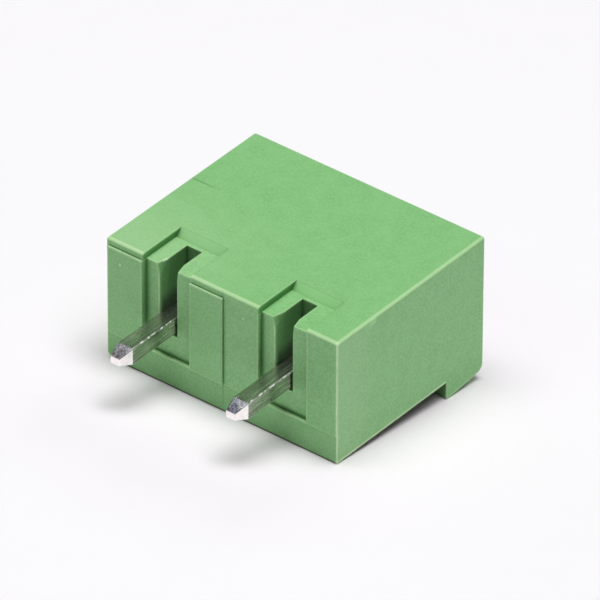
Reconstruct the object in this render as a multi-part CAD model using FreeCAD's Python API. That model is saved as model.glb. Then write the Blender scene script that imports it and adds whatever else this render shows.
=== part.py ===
import FreeCAD, Part
import math
import os

from FreeCAD import Vector

# Two-pole board header of a pluggable terminal block, lying on its side.
# X runs along the row of pins, Y from the board face to the mating face and Z up.
# The origin lies on the board face, midway between the pins and level with them.
# All lengths are in millimetres.

# Row of pins
pitch = 7.62
poles = 2
end_relief = 0.02
row_offset = 0.05

# Outside of the moulded housing
pin_to_top = 3.88
pin_to_underside = 3.72
mating_face_y = 12.4
edge_radius = 0.1
key_chamfer = 0.35

# Latching lip under the mating end
lip_start_y = 9.3
lip_drop = 1.05
lip_slope_deg = 5.4
lip_nose_radius = 0.6
lip_heel_radius = 0.15
lip_root = 0.6

# Board face: flat blocks beside shallow pockets, above a plain strip
block_setback = 0.1
strip_setback = 0.15
strip_height = 1.75
pocket_depth = 0.3
pocket_width = 3.16
pocket_offset = 0.15
pad_rebate = 0.4
pad_overrun = 0.1
pad_end_inset = 0.16
padded_poles = 1
pad_root = 0.4

# Recess in the top, behind each pocket
recess_depth = 0.4
recess_length = 2.75
recess_ramp = 0.42

# Slot that takes each pin's shank, open to the board face and to the top
slot_width = 1.0
slot_depth = 2.5
slot_floor_gap = 0.14
slot_mouth_flare = 0.07
slot_flare_depth = 1.0
slot_lip_radius = 0.1
slot_lead_in = 0.105
slot_lead_in_height = 1.0

# Cavity that the plug enters
end_wall = 0.95
latch_wall = 0.7
ceiling_wall = 1.6
scallop_wall = 0.65
scallop_radius = 2.6
pin_seat_wall = 1.0
cavity_corner_radius = 0.3
mouth_chamfer = 0.3

# Coding slots in the latch wall, behind the lip
coding_slot_width = 2.0
coding_slot_depth = 0.6
coding_slot_length = 2.4

# Square contact pins, sheared to a lopsided point at the solder end
pin_width = 0.98
pin_height = 1.02
pin_corner_radius = 0.07
solder_length = 3.82
solder_taper = 0.74
solder_left_inset = 0.11
solder_right_inset = 0.27
solder_top_inset = 0.35
solder_bottom_inset = 0.2
contact_below_mating = 1.4
contact_taper = 0.9
contact_inset = 0.28
barb_height = 0.08
barb_width = 0.5
barb_inset = 0.2

# Sizes worked out from the driving dimensions
half_width = poles * pitch / 2 - end_relief
housing_left = -half_width - row_offset
housing_right = half_width - row_offset
top_z = pin_to_top
underside_z = -pin_to_underside
lip_z = underside_z - lip_drop
block_y = block_setback
pocket_y = block_y + pocket_depth
strip_top_z = underside_z + strip_height
recess_z = top_z - recess_depth
slot_back_y = block_y + slot_depth
slot_floor_z = -pin_height / 2 - slot_floor_gap
cavity_floor_y = slot_back_y + pin_seat_wall
barb_start_y = slot_back_y + barb_inset
barb_end_y = cavity_floor_y - barb_inset
cavity_left = housing_left + end_wall
cavity_right = housing_right - end_wall
cavity_low_z = underside_z + latch_wall
cavity_high_z = top_z - ceiling_wall
scallop_top_z = top_z - scallop_wall
pin_positions = [(index - (poles - 1) / 2) * pitch for index in range(poles)]
past = 1.0


def box(x_range, y_range, z_range):
    low = Vector(x_range[0], y_range[0], z_range[0])
    size = [high - start for start, high in (x_range, y_range, z_range)]
    return Part.makeBox(size[0], size[1], size[2], low)


def rounded_outline(corners):
    """Closed wire through (point, radius) corners, each one turned by a tangent arc."""
    count = len(corners)
    arcs = []
    for index, (corner, radius) in enumerate(corners):
        before = (corners[index - 1][0] - corner).normalize()
        after = (corners[(index + 1) % count][0] - corner).normalize()
        half_angle = before.getAngle(after) / 2
        setback = radius / math.tan(half_angle)
        reach = radius / math.sin(half_angle) - radius
        middle = corner + (before + after).normalize() * reach
        arcs.append(Part.Arc(corner + before * setback, middle, corner + after * setback).toShape())
    edges = []
    for index, arc in enumerate(arcs):
        edges.append(arc)
        start = arc.Vertexes[-1].Point
        end = arcs[(index + 1) % count].Vertexes[0].Point
        edges.append(Part.LineSegment(start, end).toShape())
    return Part.Wire(edges)


def block_body():
    """Plain block of the housing with every outer edge rounded."""
    block = box(
        (housing_left, housing_right),
        (block_y, mating_face_y),
        (underside_z, top_z),
    )
    return block.makeFillet(edge_radius, block.Edges)


def latch_lip():
    """Latching lip: its side view run along X, trimmed to the block's rounded plan."""
    rise = (mating_face_y - lip_start_y) * math.tan(math.radians(lip_slope_deg))
    root_z = underside_z + lip_root
    side = rounded_outline([
        (Vector(housing_left, lip_start_y, root_z), lip_heel_radius),
        (Vector(housing_left, lip_start_y, lip_z), lip_heel_radius),
        (Vector(housing_left, mating_face_y, lip_z + rise), lip_nose_radius),
        (Vector(housing_left, mating_face_y, root_z), lip_heel_radius),
    ])
    plan = rounded_outline([
        (Vector(housing_left, block_y, lip_z), edge_radius),
        (Vector(housing_right, block_y, lip_z), edge_radius),
        (Vector(housing_right, mating_face_y, lip_z), edge_radius),
        (Vector(housing_left, mating_face_y, lip_z), edge_radius),
    ])
    bar = Part.Face(side).extrude(Vector(2 * half_width, 0, 0))
    column = Part.Face(plan).extrude(Vector(0, 0, root_z - lip_z))
    return bar.common(column)


def key_edge():
    """Wedge that bevels the underside's edge at the first pole, up to the lip."""
    corner = Vector(housing_left, 0, underside_z)
    points = [
        corner + Vector(-past, 0, key_chamfer + past),
        corner + Vector(key_chamfer + past, 0, -past),
        corner + Vector(-past, 0, -past),
    ]
    wedge = Part.Face(Part.makePolygon(points + points[:1]))
    return wedge.extrude(Vector(0, lip_start_y, 0))


def board_pads(pin_x):
    """Raised faces either side of a pole's pocket, which meet the board first."""
    pocket_left = pin_x + pocket_offset - pocket_width / 2
    pocket_right = pocket_left + pocket_width
    z_range = (strip_top_z, top_z - pad_rebate)
    y_range = (0, block_y + pad_root)
    pole_left = max(pin_x - pitch / 2, housing_left + pad_end_inset)
    pole_right = pin_x + pitch / 2 + pad_overrun
    left_pad = box((pole_left, pocket_left), y_range, z_range)
    right_pad = box((pocket_right, pole_right), y_range, z_range)
    return [left_pad, right_pad]


def board_pocket(pin_x):
    """Shallow pocket in the board face and the ramped recess above it in the top."""
    x_left = pin_x + pocket_offset - pocket_width / 2
    x_range = (x_left, x_left + pocket_width)
    pocket = box(x_range, (-past, pocket_y), (strip_top_z, top_z + past))
    ramp_foot_y = block_y + recess_length
    ramp_slope = recess_ramp / recess_depth
    points = [
        Vector(x_left, -past, recess_z),
        Vector(x_left, ramp_foot_y, recess_z),
        Vector(x_left, ramp_foot_y + ramp_slope * (recess_depth + past), top_z + past),
        Vector(x_left, -past, top_z + past),
    ]
    side = Part.Face(Part.makePolygon(points + points[:1]))
    return [pocket, side.extrude(Vector(pocket_width, 0, 0))]


def pin_slot(pin_x):
    """Upright slot over a pin, seen from above: straight at the back, flared at its mouth."""
    z = slot_floor_z
    half_back = slot_width / 2
    half_mouth = half_back + slot_mouth_flare
    flare_end_y = block_y + slot_flare_depth
    lip_y = pocket_y + slot_lip_radius
    half_lip = half_mouth + slot_lip_radius
    bow = slot_lip_radius * (1 - math.sqrt(0.5))
    left = [
        Vector(pin_x - half_lip, pocket_y, z),
        Vector(pin_x - half_mouth, lip_y, z),
        Vector(pin_x - half_back, flare_end_y, z),
        Vector(pin_x - half_back, slot_back_y, z),
    ]
    right = [Vector(2 * pin_x - point.x, point.y, z) for point in reversed(left)]
    front = [
        Vector(pin_x + half_lip, -past, z),
        Vector(pin_x - half_lip, -past, z),
    ]
    left_bow = Vector(pin_x - half_mouth - bow, pocket_y + bow, z)
    right_bow = Vector(pin_x + half_mouth + bow, pocket_y + bow, z)
    straight = left[1:] + right[:-1]
    edges = [Part.Arc(left[0], left_bow, left[1]).toShape()]
    edges += [
        Part.LineSegment(start, end).toShape()
        for start, end in zip(straight[:-1], straight[1:])
    ]
    edges.append(Part.Arc(right[-2], right_bow, right[-1]).toShape())
    closing = [right[-1]] + front + [left[0]]
    edges += [
        Part.LineSegment(start, end).toShape()
        for start, end in zip(closing[:-1], closing[1:])
    ]
    slot = Part.Face(Part.Wire(edges))
    return slot.extrude(Vector(0, 0, top_z + past - z))


def slot_lead(pin_x):
    """Flat bevels that widen the slot's mouth towards the floor of the recess."""
    half_back = slot_width / 2
    half_mouth = half_back + slot_mouth_flare + slot_lead_in
    flare_end_y = block_y + slot_flare_depth
    spread = (half_mouth - half_back) / (flare_end_y - pocket_y)
    lean = slot_lead_in / slot_lead_in_height
    low_z = recess_z - 2 * slot_lead_in_height
    high_z = top_z + past
    bevels = []
    for side in (-1, 1):
        points = []
        for y, z in ((-past, low_z), (slot_back_y / 2, low_z), (slot_back_y / 2, high_z), (-past, high_z)):
            half = half_back + spread * (flare_end_y - y) + lean * (z - recess_z)
            points.append(Vector(pin_x + side * half, y, z))
        bevel = Part.Face(Part.makePolygon(points + points[:1]))
        bevels.append(bevel.extrude(Vector(-side * slot_width * 0.6, 0, 0)))
    return bevels


def plug_cavity():
    """Mating cavity: a rounded box with a scalloped ceiling over each pin."""
    y = cavity_floor_y
    outline = rounded_outline([
        (Vector(cavity_left, y, cavity_low_z), cavity_corner_radius),
        (Vector(cavity_right, y, cavity_low_z), cavity_corner_radius),
        (Vector(cavity_right, y, cavity_high_z), cavity_corner_radius),
        (Vector(cavity_left, y, cavity_high_z), cavity_corner_radius),
    ])
    run = Vector(0, mating_face_y + past - y, 0)
    cavity = Part.Face(outline).extrude(run)
    for pin_x in pin_positions:
        centre = Vector(pin_x, y, scallop_top_z - scallop_radius)
        scallop = Part.makeCylinder(scallop_radius, run.y, centre, Vector(0, 1, 0))
        upper = box(
            (pin_x - scallop_radius, pin_x + scallop_radius),
            (y, y + run.y),
            (0, top_z),
        )
        cavity = cavity.fuse(scallop.common(upper))
    return cavity


def mouth_lead_in():
    """Bevel round the mouth of the cavity that guides the plug in."""
    rings = []
    for y, grow in ((mating_face_y - mouth_chamfer, 0), (mating_face_y, mouth_chamfer)):
        rings.append(rounded_outline([
            (Vector(cavity_left - grow, y, cavity_low_z - grow), cavity_corner_radius),
            (Vector(cavity_right + grow, y, cavity_low_z - grow), cavity_corner_radius),
            (Vector(cavity_right + grow, y, cavity_high_z + grow), cavity_corner_radius),
            (Vector(cavity_left - grow, y, cavity_high_z + grow), cavity_corner_radius),
        ]))
    return Part.makeLoft(rings, True, True)


def coding_slot(pin_x):
    """Slot in the latch wall for a coding key, cut in from the mating face."""
    return box(
        (pin_x - coding_slot_width / 2, pin_x + coding_slot_width / 2),
        (mating_face_y - coding_slot_length, mating_face_y + past),
        (cavity_low_z - coding_slot_depth, cavity_low_z + past),
    )


def pin_section(pin_x, y, insets):
    """Rounded rectangle across a pin at the given Y; insets run left, right, top and bottom."""
    left_inset, right_inset, top_inset, bottom_inset = insets
    low_x = pin_x - pin_width / 2 + left_inset
    high_x = pin_x + pin_width / 2 - right_inset
    low_z = -pin_height / 2 + bottom_inset
    high_z = pin_height / 2 - top_inset
    return rounded_outline([
        (Vector(low_x, y, low_z), pin_corner_radius),
        (Vector(high_x, y, low_z), pin_corner_radius),
        (Vector(high_x, y, high_z), pin_corner_radius),
        (Vector(low_x, y, high_z), pin_corner_radius),
    ])


def contact_pin(pin_x):
    """Drawn square pin, tapered at both ends, with a coined barb on each side."""
    contact_end_y = mating_face_y - contact_below_mating
    solder_insets = (
        solder_left_inset,
        solder_right_inset,
        solder_top_inset,
        solder_bottom_inset,
    )
    sections = [
        (-solder_length, solder_insets),
        (-solder_length + solder_taper, (0, 0, 0, 0)),
        (contact_end_y - contact_taper, (0, 0, 0, 0)),
        (contact_end_y, (contact_inset,) * 4),
    ]
    rings = [pin_section(pin_x, *section) for section in sections]
    pin = Part.makeLoft(rings, True, True)
    half_root = pin_width / 2
    half_span = half_root + barb_height
    points = [
        Vector(pin_x - half_span, barb_start_y, -barb_width / 2),
        Vector(pin_x + half_span, barb_start_y, -barb_width / 2),
        Vector(pin_x + half_root, barb_end_y, -barb_width / 2),
        Vector(pin_x - half_root, barb_end_y, -barb_width / 2),
    ]
    barb = Part.Face(Part.makePolygon(points + points[:1]))
    return pin.fuse(barb.extrude(Vector(0, 0, barb_width)))


def moulded_housing(pins):
    """The whole moulding: body, pads and strip, less its pockets, slots, cavity and pin seats."""
    housing = block_body().fuse(latch_lip())
    for pin_x in pin_positions[:padded_poles]:
        housing = housing.fuse(board_pads(pin_x))
    strip = box(
        (housing_left - past, housing_right + past),
        (-past, strip_setback),
        (underside_z - past, strip_top_z),
    )
    cuts = [strip, key_edge(), plug_cavity(), mouth_lead_in()]
    for pin_x in pin_positions:
        cuts += board_pocket(pin_x)
        cuts.append(pin_slot(pin_x))
        cuts += slot_lead(pin_x)
        cuts.append(coding_slot(pin_x))
    for tool in cuts + pins:
        housing = housing.cut(tool)
    return housing.removeSplitter()


os.makedirs("parts", exist_ok=True)
contact_pins = [contact_pin(pin_x) for pin_x in pin_positions]
moulded_housing(contact_pins).exportStep("parts/header_housing.step")
for number, pin in enumerate(contact_pins, start=1):
    pin.exportStep(f"parts/contact_pin_{number}.step")
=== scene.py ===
import bpy
import math
from mathutils import Matrix, Vector

# Two-pole board header of a pluggable terminal block, lying on the lip side as in the photograph.
# Lengths are in metres, and short ones in microns.

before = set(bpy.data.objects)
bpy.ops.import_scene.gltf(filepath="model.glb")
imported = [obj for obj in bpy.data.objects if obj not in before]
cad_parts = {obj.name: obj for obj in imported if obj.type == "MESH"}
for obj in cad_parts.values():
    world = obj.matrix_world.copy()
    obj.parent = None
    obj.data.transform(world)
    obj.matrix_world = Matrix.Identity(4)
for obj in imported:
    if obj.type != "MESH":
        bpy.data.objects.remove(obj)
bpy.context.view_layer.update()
bpy.ops.object.select_all(action="DESELECT")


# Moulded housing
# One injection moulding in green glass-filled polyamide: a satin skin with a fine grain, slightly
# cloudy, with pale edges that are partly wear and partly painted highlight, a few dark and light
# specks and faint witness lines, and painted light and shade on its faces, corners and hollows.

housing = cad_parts["header_housing"]

# Places on the solid, across the row (x), from the board face to the mouth (y) and upwards (z)
micron = 0.000001
far_end_x = -0.00765
end_x = 0.00755
slot_x = 0.00381
slot_half_width = 0.00057
shaded_walls_x = (-0.00524, 0.00238)
lit_walls_x = (-0.00208, 0.00554)
block_y = 0.0001
pocket_y = 0.0004
slot_back_y = 0.0026
ramp_foot_y = 0.00285
ramp_head_y = 0.00327
lip_start_y = 0.0093
top_z = 0.00388
recess_z = 0.00348
slot_floor_z = -0.00065
strip_top_z = -0.00197
underside_z = -0.00372

# Colours of the skin, of its edges, partly worn and partly painted highlight, of its marks,
# and of its painted shade and light
housing_green = (0.195, 0.478, 0.165, 1.0)
housing_pale = (0.262, 0.578, 0.226, 1.0)
skin_pale = (0.290, 0.620, 0.250, 1.0)
ramp_light_green = (0.318, 0.695, 0.270, 1.0)
edge_green = (0.44, 0.73, 0.35, 1.0)
glint_green = (0.60, 0.86, 0.47, 1.0)
burr_highlight_pale = (0.74, 0.97, 0.64, 1.0)
speck_light = (0.56, 0.76, 0.46, 1.0)
speck_dark = (0.060, 0.170, 0.055, 1.0)
corner_green = (0.060, 0.190, 0.050, 1.0)
wall_green = (0.022, 0.290, 0.028, 1.0)
deep_green = (0.006, 0.040, 0.006, 1.0)
contact_shade_brown = (0.050, 0.045, 0.020, 1.0)


def feed(tree, socket, value):
    """Links a socket to another, or sets it when the value is a plain one."""
    if isinstance(value, bpy.types.NodeSocket):
        tree.links.new(value, socket)
    else:
        socket.default_value = value


def maths(tree, operation, *values):
    node = tree.nodes.new("ShaderNodeMath")
    node.operation = operation
    for socket, value in zip(node.inputs, values):
        feed(tree, socket, value)
    return node.outputs["Value"]


def product(tree, first, *others):
    """The values multiplied together, from the first to the last."""
    for other in others:
        first = maths(tree, "MULTIPLY", first, other)
    return first


def ranged(tree, mask, at_none, at_full):
    """Value that goes from its first number to its second as the mask goes from 0 to 1."""
    return maths(tree, "MULTIPLY_ADD", mask, at_full - at_none, at_none)


def step_up(tree, value, low, high):
    """Smooth rise from 0 to 1 as the value goes from low to high."""
    node = tree.nodes.new("ShaderNodeMapRange")
    node.interpolation_type = "SMOOTHSTEP"
    feed(tree, node.inputs["Value"], value)
    feed(tree, node.inputs["From Min"], low)
    feed(tree, node.inputs["From Max"], high)
    return node.outputs["Result"]


def band(tree, value, start, end, fade):
    """Mask that is 1 from start to end and fades to 0 beyond them."""
    rise = step_up(tree, value, start - fade, start)
    return product(tree, rise, step_up(tree, value, end + fade, end))


def line_at(tree, value, place, half_width):
    """Mask that is 1 where the value is at the place and 0 beyond the half width."""
    core_share = 0.3
    off = maths(tree, "ABSOLUTE", maths(tree, "SUBTRACT", value, place))
    return step_up(tree, off, half_width, half_width * core_share)


def spot_at(tree, coordinates, place, radius):
    """Mask that is 1 at a place and fades to 0 at the radius."""
    core_share = 0.4
    node = tree.nodes.new("ShaderNodeVectorMath")
    node.operation = "DISTANCE"
    feed(tree, node.inputs[0], coordinates)
    node.inputs[1].default_value = place
    return step_up(tree, node.outputs["Value"], radius, radius * core_share)


def where(tree, along, *limits):
    """Mask that is 1 where each named axis has passed from its first value to its second."""
    return product(tree, *[step_up(tree, along[axis], out, within) for axis, out, within in limits])


def noise(tree, coordinates, scale, detail=2.0, roughness=0.5):
    node = tree.nodes.new("ShaderNodeTexNoise")
    feed(tree, node.inputs["Vector"], coordinates)
    feed(tree, node.inputs["Scale"], scale)
    feed(tree, node.inputs["Detail"], detail)
    feed(tree, node.inputs["Roughness"], roughness)
    return node.outputs["Fac"]


def occlusion(tree, distance, inside):
    """How open the surface is within the distance, seen from outside or from inside the solid."""
    node = tree.nodes.new("ShaderNodeAmbientOcclusion")
    node.samples = 8
    node.inside = inside
    node.only_local = True
    feed(tree, node.inputs["Distance"], distance)
    return node.outputs["AO"]


def mixed(tree, factor, first, second):
    node = tree.nodes.new("ShaderNodeMix")
    node.data_type = "RGBA"
    feed(tree, node.inputs["Factor"], factor)
    feed(tree, node.inputs["A"], first)
    feed(tree, node.inputs["B"], second)
    return node.outputs["Result"]


def layered(tree, colour, layers):
    """The colour under its layers, each a mask, how strongly it shows, and its own colour."""
    for mask, strength, tint in layers:
        colour = mixed(tree, product(tree, mask, strength), colour, tint)
    return colour


def bumped(tree, height, strength, distance):
    node = tree.nodes.new("ShaderNodeBump")
    feed(tree, node.inputs["Height"], height)
    node.inputs["Strength"].default_value = strength
    node.inputs["Distance"].default_value = distance
    return node.outputs["Normal"]


def effect_group(name, inputs, outputs):
    """Empty node group with named inputs (name, type, value) and outputs (name, type)."""
    group = bpy.data.node_groups.new(name, "ShaderNodeTree")
    for socket_name, socket_type, value in inputs:
        socket = group.interface.new_socket(
            name=socket_name, in_out="INPUT", socket_type=socket_type
        )
        if value is not None:
            socket.default_value = value
    for socket_name, socket_type in outputs:
        group.interface.new_socket(name=socket_name, in_out="OUTPUT", socket_type=socket_type)
    entry = group.nodes.new("NodeGroupInput")
    exit_node = group.nodes.new("NodeGroupOutput")
    return group, entry.outputs, exit_node.inputs


def place_group(tree, group, **values):
    node = tree.nodes.new("ShaderNodeGroup")
    node.node_tree = group
    for name, value in values.items():
        feed(tree, node.inputs[name], value)
    return node.outputs


def material_with_shader(name):
    """New material; gives it, its tree, its shader, the object coordinates and their parts."""
    material = bpy.data.materials.new(name)
    material.use_nodes = True
    tree = material.node_tree
    tree.nodes.clear()
    output = tree.nodes.new("ShaderNodeOutputMaterial")
    shader = tree.nodes.new("ShaderNodeBsdfPrincipled")
    feed(tree, output.inputs["Surface"], shader.outputs["BSDF"])
    coordinates = tree.nodes.new("ShaderNodeTexCoord").outputs["Object"]
    parts = tree.nodes.new("ShaderNodeSeparateXYZ")
    feed(tree, parts.inputs["Vector"], coordinates)
    return material, tree, shader, coordinates, parts.outputs


# Effect: masks of outer edges and of inner corners, within a reach of the surface
edge_masks, entry, leave = effect_group(
    "edge_masks",
    [("Reach", "NodeSocketFloat", 0.0001)],
    [("Edge", "NodeSocketFloat"), ("Corner", "NodeSocketFloat")],
)
tree = edge_masks
edge_from, edge_full = 0.92, 0.62
corner_from, corner_full = 0.96, 0.45
from_inside = occlusion(tree, entry["Reach"], True)
from_outside = occlusion(tree, entry["Reach"], False)
feed(tree, leave["Edge"], step_up(tree, from_inside, edge_from, edge_full))
feed(tree, leave["Corner"], step_up(tree, from_outside, corner_from, corner_full))

# Effect: height of a fine grain with a coarser one in it, and soft clouds
skin_grain, entry, leave = effect_group(
    "skin_grain",
    [("Vector", "NodeSocketVector", None), ("Scale", "NodeSocketFloat", 5000.0)],
    [("Height", "NodeSocketFloat"), ("Cloud", "NodeSocketFloat")],
)
tree = skin_grain
coarse_scale_share = 0.22
coarse_height_share = 0.3
cloud_scale_share = 0.16
fine = noise(tree, entry["Vector"], entry["Scale"], detail=3.0, roughness=0.6)
coarse = noise(tree, entry["Vector"], product(tree, entry["Scale"], coarse_scale_share))
feed(tree, leave["Height"], maths(tree, "MULTIPLY_ADD", coarse, coarse_height_share, fine))
cloud_scale = product(tree, entry["Scale"], cloud_scale_share)
feed(tree, leave["Cloud"], noise(tree, entry["Vector"], cloud_scale, detail=4.0))

# Effect: round specks in a share of the cells of a scatter, each with a soft rim
speck_scatter, entry, leave = effect_group(
    "speck_scatter",
    [
        ("Vector", "NodeSocketVector", None),
        ("Scale", "NodeSocketFloat", 900.0),
        ("Radius", "NodeSocketFloat", 0.08),
        ("Share", "NodeSocketFloat", 0.2),
    ],
    [("Specks", "NodeSocketFloat")],
)
tree = speck_scatter
speck_core_share = 0.4
cells = tree.nodes.new("ShaderNodeTexVoronoi")
feed(tree, cells.inputs["Vector"], entry["Vector"])
feed(tree, cells.inputs["Scale"], entry["Scale"])
core = product(tree, entry["Radius"], speck_core_share)
spot = step_up(tree, cells.outputs["Distance"], entry["Radius"], core)
chance = tree.nodes.new("ShaderNodeSeparateColor")
feed(tree, chance.inputs["Color"], cells.outputs["Color"])
chosen = maths(tree, "LESS_THAN", chance.outputs["Red"], entry["Share"])
feed(tree, leave["Specks"], product(tree, spot, chosen))

# The moulding's material: wear and painted highlights along edges, painted shade in corners and
# hollows, grain and specks
housing_material, tree, shader, coordinates, along = material_with_shader("green_polyamide")
edges = place_group(tree, edge_masks, Reach=170 * micron)
shades = place_group(tree, edge_masks, Reach=330 * micron)
hollows = place_group(tree, edge_masks, Reach=1600 * micron)
grain = place_group(tree, skin_grain, Vector=coordinates, Scale=7000.0)
dark_specks = place_group(
    tree, speck_scatter, Vector=coordinates, Scale=1100.0, Radius=0.09, Share=0.10
)
light_specks = place_group(
    tree, speck_scatter, Vector=coordinates, Scale=760.0, Radius=0.06, Share=0.07
)
clouds = step_up(tree, grain["Cloud"], -0.20, 1.30)

# Grain flecks, weaker on the top
on_top = step_up(tree, along["Z"], top_z - 80 * micron, top_z - 20 * micron)
fleck_share = ranged(tree, on_top, 0.75, 0.50)
flecks = product(tree, step_up(tree, grain["Height"], 0.50, 0.80), fleck_share)

# Two faint witness lines, two small chips, and a burr on the lip of the first slot, a raised patch
# whose paleness is partly painted highlight
top_line_y = 0.00709
strip_line_x = 0.00004
pad_chip_place = (-0.00667, 0.0, 0.00262)
block_chip_place = (0.00139, 0.0001, 0.00274)
burr_place = (-0.00441, 0.0009, recess_z)
top_line = product(
    tree,
    line_at(tree, along["Y"], top_line_y, 80 * micron),
    where(
        tree,
        along,
        ("X", far_end_x + 2050 * micron, far_end_x + 850 * micron),
        ("Z", top_z - 180 * micron, top_z - 80 * micron),
    ),
)
strip_line = product(
    tree,
    line_at(tree, along["X"], strip_line_x, 40 * micron),
    where(
        tree,
        along,
        ("Y", pocket_y, pocket_y - 200 * micron),
        ("Z", underside_z + 320 * micron, underside_z + 620 * micron),
    ),
)
witness = maths(tree, "MAXIMUM", top_line, strip_line)
pad_chip = spot_at(tree, coordinates, pad_chip_place, 110 * micron)
block_chip = spot_at(tree, coordinates, block_chip_place, 80 * micron)
chip = maths(tree, "MAXIMUM", pad_chip, block_chip)
burr_and_highlight = spot_at(tree, coordinates, burr_place, 260 * micron)
burr_and_highlight = product(tree, burr_and_highlight, step_up(tree, edges["Edge"], 0.35, 0.80))

# Recesses: painted shade on one side wall of each, a soft painted shade line along the other,
# painted light on the ramps, and less painted corner shade on the open floors
wall_bands = [
    band(tree, along["X"], wall_x - 20 * micron, wall_x + 20 * micron, 20 * micron)
    for wall_x in shaded_walls_x
]
recess_wall = product(
    tree,
    maths(tree, "MAXIMUM", *wall_bands),
    band(tree, along["Z"], recess_z + 20 * micron, top_z - 80 * micron, 40 * micron),
    band(tree, along["Y"], block_y, ramp_foot_y + 250 * micron, 100 * micron),
)
wall_lines = [line_at(tree, along["X"], wall_x, 220 * micron) for wall_x in lit_walls_x]
recess_edge_shade = product(
    tree,
    maths(tree, "MAXIMUM", *wall_lines),
    where(
        tree,
        along,
        ("Y", block_y + 100 * micron, block_y + 400 * micron),
        ("Y", ramp_head_y + 130 * micron, ramp_head_y - 170 * micron),
        ("Z", recess_z - 280 * micron, recess_z - 80 * micron),
    ),
)
on_ramp = where(
    tree,
    along,
    ("Z", recess_z - 10 * micron, recess_z + 40 * micron),
    ("Z", top_z, top_z - 40 * micron),
    ("Y", ramp_foot_y - 150 * micron, ramp_foot_y + 50 * micron),
    ("Y", ramp_head_y + 130 * micron, ramp_head_y - 70 * micron),
)
recess_floor = product(
    tree,
    band(tree, along["Z"], recess_z - 6 * micron, recess_z + 6 * micron, 6 * micron),
    band(tree, along["Y"], block_y + 100 * micron, ramp_foot_y + 150 * micron, 100 * micron),
)
closed_in = ranged(tree, recess_floor, 1.0, 0.25)

# Slots: shaded walls, darkest from just above the pins downwards
slot_dusk_z = 0.0017
slot_dark_z = 0.0007
off_slot = maths(tree, "SUBTRACT", maths(tree, "ABSOLUTE", along["X"]), slot_x)
off_slot = maths(tree, "ABSOLUTE", off_slot)
in_slot = product(
    tree,
    step_up(tree, off_slot, slot_half_width + 70 * micron, slot_half_width),
    where(
        tree,
        along,
        ("Y", pocket_y + 50 * micron, pocket_y + 350 * micron),
        ("Y", slot_back_y + 200 * micron, slot_back_y),
        ("Z", recess_z - 10 * micron, recess_z - 80 * micron),
    ),
)
slot_low = product(tree, in_slot, where(tree, along, ("Z", slot_dusk_z, slot_dark_z)))

# Broad tones: lighter towards the top's far front corner and on the front of the near end,
# and painted shade low on the board face and on the wall under the lip
lighter_back_y = 0.0075
lighter_front_y = 0.0005
lighter_near_x = 0.0020
lighter_far_x = -0.0070
end_lighter_back_y = 0.0045
end_lighter_front_y = 0.0
pale_front = where(
    tree,
    along,
    ("Y", lighter_back_y, lighter_front_y),
    ("Y", block_y + 10 * micron, block_y + 80 * micron),
    ("X", lighter_near_x, lighter_far_x),
    ("X", far_end_x + 10 * micron, far_end_x + 70 * micron),
    ("Z", recess_z - 180 * micron, recess_z + 20 * micron),
)
pale_end = where(
    tree,
    along,
    ("X", end_x - 50 * micron, end_x - 10 * micron),
    ("Y", end_lighter_back_y, end_lighter_front_y),
)
low_strip_shade = where(
    tree,
    along,
    ("Z", strip_top_z + 370 * micron, underside_z + 120 * micron),
    ("Y", pocket_y, pocket_y - 100 * micron),
)
lip_wall_shade = where(
    tree,
    along,
    ("Z", underside_z + 10 * micron, underside_z - 80 * micron),
    ("Y", lip_start_y + 100 * micron, lip_start_y + 20 * micron),
)

# Edges: pale all round, most at the near end, partly wear and partly painted highlight, with
# painted highlights as bright rims and painted glints where the edges catch most light
end_side = where(tree, along, ("X", end_x - 350 * micron, end_x - 150 * micron))
edge_pale_share = ranged(tree, end_side, 0.42, 0.97)
worn_and_lit_edges = product(tree, edge_pale_share, maths(tree, "SUBTRACT", 1.0, recess_edge_shade), edges["Edge"])
# Painted highlights: bright rims on the top's front and end edges, on the pads' top edges, at the
# slot mouths and on the ledge under the pockets, broken up by noise
rim_height = ("Z", top_z - 120 * micron, top_z - 60 * micron)
front_rim = where(
    tree, along, rim_height, ("Y", block_y + 260 * micron, block_y + 160 * micron)
)
end_rim = where(tree, along, rim_height, ("X", end_x - 220 * micron, end_x - 140 * micron))
pad_rim = product(
    tree,
    band(tree, along["Z"], recess_z - 60 * micron, recess_z, 40 * micron),
    where(tree, along, ("Y", block_y - 10 * micron, block_y - 40 * micron)),
)
mouth_rim = product(
    tree,
    band(tree, off_slot, slot_half_width - 10 * micron, slot_half_width + 50 * micron, 30 * micron),
    band(tree, along["Y"], pocket_y - 20 * micron, pocket_y + 50 * micron, 30 * micron),
    band(tree, along["Z"], slot_floor_z + 70 * micron, recess_z - 130 * micron, 80 * micron),
)
ledge = product(
    tree,
    band(tree, along["Z"], strip_top_z - 30 * micron, strip_top_z + 20 * micron, 30 * micron),
    band(tree, along["Y"], block_y + 40 * micron, block_y + 160 * micron, 60 * micron),
)
rim_highlight_breakup = step_up(tree, noise(tree, coordinates, scale=1800.0), 0.25, 0.60)
rim_highlights = product(
    tree,
    maths(tree, "MAXIMUM", pad_rim, maths(tree, "MAXIMUM", mouth_rim, ledge)),
    ranged(tree, rim_highlight_breakup, 0.5, 1.0),
)
# Painted glints on the near end's front edge and on its bottom edge, broken up by noise
front_edge = where(
    tree,
    along,
    ("X", end_x - 100 * micron, end_x - 40 * micron),
    ("Y", block_y + 120 * micron, block_y + 30 * micron),
)
under_edge = where(
    tree,
    along,
    ("X", end_x - 130 * micron, end_x - 70 * micron),
    ("Z", underside_z + 220 * micron, underside_z + 150 * micron),
    ("Y", lip_start_y, lip_start_y - 200 * micron),
)
glint_breakup = step_up(tree, noise(tree, coordinates, scale=1500.0), 0.30, 0.62)
edge_glints = product(
    tree,
    maths(tree, "MAXIMUM", front_edge, under_edge),
    ranged(tree, glint_breakup, 0.7, 1.0),
)
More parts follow.
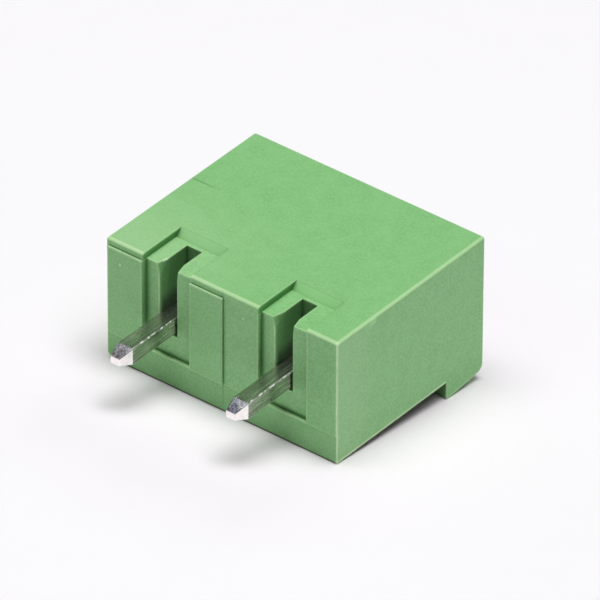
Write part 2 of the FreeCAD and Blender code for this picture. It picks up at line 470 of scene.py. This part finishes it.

# Painted contact shade: a dark brown painted shadow line along the edge that stands on the floor,
# and painted shade on the underside
board_edge_shade = where(
    tree,
    along,
    ("Z", underside_z + 140 * micron, underside_z + 60 * micron),
    ("Y", pocket_y + 100 * micron, pocket_y - 100 * micron),
)
board_edge_shade = product(tree, board_edge_shade, maths(tree, "SUBTRACT", 1.0, edge_glints))
underside_shade = where(tree, along, ("Z", underside_z + 8 * micron, underside_z + 2 * micron))
contact_shade = product(
    tree,
    maths(tree, "MAXIMUM", board_edge_shade, underside_shade),
    where(tree, along, ("Y", lip_start_y + 100 * micron, lip_start_y - 300 * micron)),
)

# Colour, from the plain skin outwards: each layer's mask, how strongly it shows, and its tint
colour = layered(
    tree,
    mixed(tree, clouds, housing_green, housing_pale),
    [
        (flecks, 1.0, skin_pale),
        (on_ramp, 1.0, ramp_light_green),
        (pale_front, 0.26, speck_light),
        (pale_end, 0.14, speck_light),
        (low_strip_shade, 0.20, corner_green),
        (recess_wall, 0.72, wall_green),
        # Painted shade in inner corners and hollows, weaker on the open recess floors
        (product(tree, closed_in, hollows["Corner"]), 0.42, corner_green),
        (product(tree, closed_in, shades["Corner"]), 0.86, corner_green),
        (in_slot, 0.42, corner_green),
        (slot_low, 0.78, deep_green),
        (lip_wall_shade, 0.65, corner_green),
        (recess_edge_shade, 0.10, corner_green),
        (dark_specks["Specks"], 0.38, speck_dark),
        (light_specks["Specks"], 0.28, speck_light),
        (witness, 0.45, speck_dark),
        (worn_and_lit_edges, 1.0, edge_green),
        (front_rim, 0.55, glint_green),
        (end_rim, 0.40, glint_green),
        (rim_highlights, 0.70, glint_green),
        (edge_glints, 1.0, glint_green),
        (contact_shade, 0.9, contact_shade_brown),
        (chip, 1.0, speck_light),
        (burr_and_highlight, 1.0, burr_highlight_pale),
    ],
)
feed(tree, shader.inputs["Base Color"], colour)

# Gloss and relief: the clouds are a little duller; the witness lines are sunk, the marks stand out
skin_roughness = 0.43
cloud_roughness = 0.53
witness_depth = 1.6
mark_height = 1.5
grain_strength = 0.75
grain_height = 6 * micron
roughness = ranged(tree, grain["Cloud"], skin_roughness, cloud_roughness)
feed(tree, shader.inputs["Roughness"], roughness)
marks = product(tree, maths(tree, "MAXIMUM", chip, burr_and_highlight), mark_height)
relief = maths(tree, "SUBTRACT", grain["Height"], product(tree, witness, witness_depth))
relief = maths(tree, "ADD", relief, marks)
feed(tree, shader.inputs["Normal"], bumped(tree, relief, grain_strength, grain_height))

housing.data.materials.clear()
housing.data.materials.append(housing_material)


# Contact pins
# Square brass wire, tin plated and dulled, drawn lengthwise and sheared to a blunt point at its
# solder end. The shear leaves pale rough facets and a mottled top facet painted dark as a
# reflection of the dim room, and one long corner carries a painted highlight.

pins = [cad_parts["contact_pin_1"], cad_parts["contact_pin_2"]]
wire_half_width = 0.0005
taper_start_y = -0.00308
tip_y = -0.00382
tip_top_z = 0.00016
shank_top_z = 0.00051
tin_dark = (0.54, 0.46, 0.49, 1.0)
tin_light = (0.92, 0.83, 0.86, 1.0)
tin_bright = (0.93, 0.93, 0.91, 1.0)
pit_dark = (0.16, 0.15, 0.13, 1.0)
shear_pale = (1.0, 0.97, 0.95, 1.0)
facet_reflection_dark = (0.085, 0.090, 0.115, 1.0)
shear_grey = (0.36, 0.39, 0.44, 1.0)
shear_warm = (0.20, 0.15, 0.13, 1.0)
shear_speck = (0.62, 0.60, 0.61, 1.0)
shear_pit = (0.035, 0.030, 0.040, 1.0)

pin_material, tree, shader, coordinates, along = material_with_shader("tinned_wire")
draw_stretch = 0.045
stretch = tree.nodes.new("ShaderNodeMapping")
feed(tree, stretch.inputs["Vector"], coordinates)
stretch.inputs["Scale"].default_value = (1.0, draw_stretch, 1.0)
drawn = stretch.outputs["Vector"]
streaks = noise(tree, drawn, scale=9000.0, detail=4.0, roughness=0.65)
tarnish = noise(tree, coordinates, scale=1900.0, detail=3.0, roughness=0.6)
blotches = noise(tree, coordinates, scale=7000.0, detail=3.0, roughness=0.6)
crumbs = noise(tree, coordinates, scale=12500.0)
pits = place_group(tree, speck_scatter, Vector=coordinates, Scale=5200.0, Radius=0.28, Share=0.50)
sparks = place_group(
    tree, speck_scatter, Vector=coordinates, Scale=4300.0, Radius=0.22, Share=0.20
)
fine_grain = place_group(tree, skin_grain, Vector=coordinates, Scale=14000.0)

# The sheared tip, its top facet painted dark as a reflection, and the painted highlight along the
# upper corner on the right of the wire
in_tip = where(tree, along, ("Y", taper_start_y + 40 * micron, taper_start_y - 40 * micron))
facet_rise = (shank_top_z - tip_top_z) / (taper_start_y - tip_y)
facet_z = maths(tree, "MULTIPLY_ADD", along["Y"], facet_rise, tip_top_z - tip_y * facet_rise)
above_facet = maths(tree, "SUBTRACT", along["Z"], facet_z)
top_facet = product(tree, in_tip, step_up(tree, above_facet, -80 * micron, -30 * micron))
wire_x = product(tree, maths(tree, "SIGN", along["X"]), slot_x)
across = maths(tree, "SUBTRACT", along["X"], wire_x)
beads = step_up(tree, noise(tree, coordinates, scale=3800.0), 0.45, 0.60)
# Painted highlight along the wire's upper right corner, broken into beads
ridge = product(
    tree,
    step_up(tree, across, wire_half_width - 90 * micron, wire_half_width - 50 * micron),
    where(tree, along, ("Z", shank_top_z - 80 * micron, shank_top_z - 40 * micron)),
    ranged(tree, beads, 0.18, 1.0),
)
first_pin = maths(tree, "LESS_THAN", along["X"], 0.0)
mottle = step_up(tree, blotches, 0.46, 0.62)
torn = step_up(tree, noise(tree, coordinates, scale=3400.0), 0.54, 0.62)

shank = layered(
    tree,
    mixed(tree, step_up(tree, streaks, 0.34, 0.66), tin_dark, tin_light),
    [
        (step_up(tree, tarnish, 0.50, 0.68), 0.40, tin_dark),
        (step_up(tree, fine_grain["Height"], 0.70, 0.88), 0.35, pit_dark),
        (pits["Specks"], 0.65, pit_dark),
        (sparks["Specks"], 0.5, tin_bright),
        (ridge, 1.0, tin_bright),
    ],
)
facet = layered(tree, shear_pale, [(mottle, 0.12, tin_dark), (torn, 0.14, shear_grey)])
facet_reflection_fade = where(tree, along, ("Y", tip_y + 70 * micron, taper_start_y + 180 * micron))
facet_reflection_and_mottle = layered(
    tree,
    mixed(tree, facet_reflection_fade, facet_reflection_dark, shear_grey),
    [
        (mottle, 0.6, shear_grey),
        (torn, 0.30, shear_pale),
        (first_pin, 0.30, shear_warm),
        (step_up(tree, crumbs, 0.54, 0.62), 0.50, shear_speck),
        (step_up(tree, crumbs, 0.46, 0.38), 0.60, shear_pit),
    ],
)
tip = mixed(tree, top_facet, facet, facet_reflection_and_mottle)
feed(tree, shader.inputs["Base Color"], mixed(tree, in_tip, shank, tip))

# The painted highlight on the corner is a plain pale line, so it is less metallic; the tip is
# duller
ridge_metallic = 0.2
bright_roughness = 0.14
streak_roughness = 0.36
tip_roughness = 0.34
streak_height = 0.5
fine_grain_height = 0.9
relief_strength = 0.5
relief_height = 8 * micron
feed(tree, shader.inputs["Metallic"], ranged(tree, ridge, 1.0, ridge_metallic))
wire_dull = ranged(tree, streaks, bright_roughness, streak_roughness)
tip_dull = product(tree, in_tip, tip_roughness)
feed(tree, shader.inputs["Roughness"], maths(tree, "MAXIMUM", wire_dull, tip_dull))
relief = product(tree, fine_grain["Height"], fine_grain_height)
relief = maths(tree, "MULTIPLY_ADD", streaks, streak_height, relief)
relief = maths(tree, "ADD", relief, product(tree, mottle, in_tip))
feed(tree, shader.inputs["Normal"], bumped(tree, relief, relief_strength, relief_height))

for pin in pins:
    pin.data.materials.clear()
    pin.data.materials.append(pin_material)


# Floor
# The header lies on the board edge of its underside and on the heel of its lip, so the floor
# slopes by a few degrees in the part's own frame.

floor_size = 1.6
floor_gap = 12 * micron
board_edge_depth = 0.001
near_centre = (0.0, -0.004, 0.0)
near_radius = 0.021
paper_grey = (0.938, 0.928, 0.942, 1.0)
paper_white = (0.950, 0.940, 0.954, 1.0)
bounce_cancelling_pink = (0.950, 0.905, 0.945, 1.0)
paper_roughness = 0.9
fibre_strength = 0.2
fibre_height = 10 * micron


def resting_line(mesh_object):
    """Heel of the lip and the slope of the floor that touches it and the board edge."""
    points = [vertex.co for vertex in mesh_object.data.vertices]
    heel = min(points, key=lambda point: point.z)
    board_edge = [point for point in points if point.y < board_edge_depth]
    slope = min((point.z - heel.z) / (heel.y - point.y) for point in board_edge)
    return heel, slope


heel, floor_slope = resting_line(housing)
floor_tilt = math.atan(floor_slope)

bpy.ops.mesh.primitive_grid_add(x_subdivisions=2, y_subdivisions=2, size=floor_size)
floor = bpy.context.object
floor.name = "floor"
floor_origin = Vector((0.0, heel.y, heel.z - floor_gap))
floor.matrix_world = Matrix.Translation(floor_origin) @ Matrix.Rotation(-floor_tilt, 4, "X")
floor_material, tree, shader, coordinates, along = material_with_shader("pale_floor")
fibres = place_group(tree, skin_grain, Vector=coordinates, Scale=2600.0)
# Painted tint: the floor near the part is pinker, cancelling the green light bounced from the
# housing
nearness = spot_at(tree, coordinates, near_centre, near_radius)
paper = mixed(tree, fibres["Cloud"], paper_grey, paper_white)
feed(tree, shader.inputs["Base Color"], mixed(tree, nearness, paper, bounce_cancelling_pink))
shader.inputs["Roughness"].default_value = paper_roughness
shader.inputs["Specular IOR Level"].default_value = 0.0
fibre_relief = bumped(tree, fibres["Height"], fibre_strength, fibre_height)
feed(tree, shader.inputs["Normal"], fibre_relief)
floor.data.materials.append(floor_material)


# Light
# A long soft box hangs overhead across the camera's view, with a stronger core in its middle, and
# weak ones stand around in a dim room: two on the right, one high and one low, and one each in
# front, behind and on the left. The long box gives the pins their fan-shaped shadows.

room_colour = (0.88, 0.80, 1.0, 1.0)
room_strength = 0.05
lamp_distance = 0.9

world = bpy.data.worlds.new("room")
bpy.context.scene.world = world
world.use_nodes = True
world.node_tree.nodes["Background"].inputs["Color"].default_value = room_colour
world.node_tree.nodes["Background"].inputs["Strength"].default_value = room_strength


def soft_box(name, tilt_deg, azimuth_deg, width, depth, irradiance):
    """Area light facing the part; tilt is from straight up, azimuth is from +X towards +Y."""
    data = bpy.data.lights.new(name, "AREA")
    data.shape = "RECTANGLE"
    data.size = depth
    data.size_y = width
    data.energy = irradiance * math.pi * lamp_distance * lamp_distance
    lamp = bpy.data.objects.new(name, data)
    bpy.context.collection.objects.link(lamp)
    turn = Matrix.Rotation(math.radians(azimuth_deg), 4, "Z")
    tilt = Matrix.Rotation(math.radians(tilt_deg), 4, "Y")
    lamp.matrix_world = turn @ tilt @ Matrix.Translation((0.0, 0.0, lamp_distance))


# Name, tilt, azimuth, width, depth and irradiance of each box
for box in (
    ("overhead_box", 1.0, 308.0, 0.92, 0.30, 1.72),
    ("overhead_core", 4.0, 38.0, 0.34, 0.46, 1.14),
    ("right_high_box", 24.0, 0.0, 0.35, 0.35, 0.40),
    ("right_low_box", 80.0, -2.0, 0.35, 0.30, 0.17),
    ("front_box", 42.0, 270.0, 0.30, 0.30, 0.06),
    ("back_box", 58.0, 95.0, 0.30, 0.30, 0.24),
    ("left_box", 80.0, 170.0, 0.50, 0.30, 0.20),
):
    soft_box(*box)


# Camera
# Long lens from the right, above the pins' side, solved from the straight edges in the photograph.

camera_azimuth = 38.34
camera_elevation = 35.34
camera_roll = 0.27
camera_distance = 0.58016
camera_target = Vector((0.00221, 0.00377, 0.00227))
lens_length = 676.54
sensor_width = 36.0
nearest, farthest = 0.01, 5.0

camera_data = bpy.data.cameras.new("camera")
camera_data.sensor_width = sensor_width
camera_data.lens = lens_length
camera_data.clip_start = nearest
camera_data.clip_end = farthest
camera = bpy.data.objects.new("camera", camera_data)
bpy.context.collection.objects.link(camera)
aim = (
    Matrix.Rotation(math.radians(camera_azimuth), 4, "Z")
    @ Matrix.Rotation(math.radians(90.0 - camera_elevation), 4, "X")
    @ Matrix.Rotation(math.radians(camera_roll), 4, "Z")
)
camera.matrix_world = (
    Matrix.Translation(camera_target) @ aim @ Matrix.Translation((0.0, 0.0, camera_distance))
)
bpy.context.scene.camera = camera

bpy.context.scene.view_settings.view_transform = "Standard"
